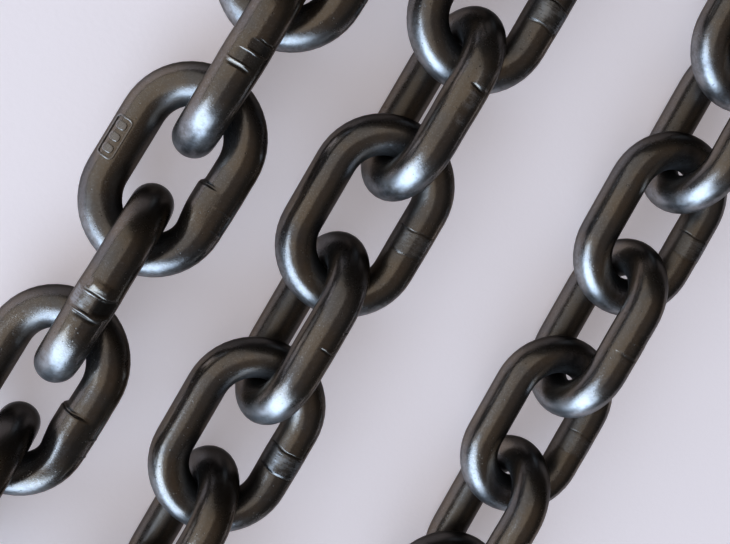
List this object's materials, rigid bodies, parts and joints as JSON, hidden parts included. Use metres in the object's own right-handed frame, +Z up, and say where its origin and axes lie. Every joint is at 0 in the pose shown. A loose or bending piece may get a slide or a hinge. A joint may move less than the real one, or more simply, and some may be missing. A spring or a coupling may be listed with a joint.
{
  "type": "lifting chain length",
  "caption": "Short-link welded round-steel lifting chain laid in three parallel runs joined by two loops, with an open eye at each end.",
  "frame": {"origin": "centre of the chain's footprint, on the floor it lies on", "axes": "+Z up; +Y along the runs, towards the loop between the first and second runs; +X from the first run to the third"},
  "size_m": [0.1622, 0.3692, 0.0355],
  "materials": {
    "blackened_steel": "satin heat-blackened steel with a light oil film, fine grain and bright worn crowns"
  },
  "bodies": {
    "root": {"link_01": "blackened_steel", "link_02": "blackened_steel", "link_03": "blackened_steel", "link_04": "blackened_steel", "link_05": "blackened_steel", "link_06": "blackened_steel", "link_07": "blackened_steel", "link_08": "blackened_steel", "link_09": "blackened_steel", "link_10": "blackened_steel", "link_11": "blackened_steel", "link_12": "blackened_steel", "link_13": "blackened_steel", "link_14": "blackened_steel", "link_15": "blackened_steel", "link_16": "blackened_steel", "link_17": "blackened_steel", "link_18": "blackened_steel", "link_19": "blackened_steel", "link_20": "blackened_steel", "link_21": "blackened_steel", "link_22": "blackened_steel", "link_23": "blackened_steel", "link_24": "blackened_steel", "link_25": "blackened_steel", "link_26": "blackened_steel", "link_27": "blackened_steel", "link_28": "blackened_steel", "link_29": "blackened_steel", "link_30": "blackened_steel", "link_31": "blackened_steel", "link_32": "blackened_steel", "link_33": "blackened_steel"}
  },
  "joints": []
}
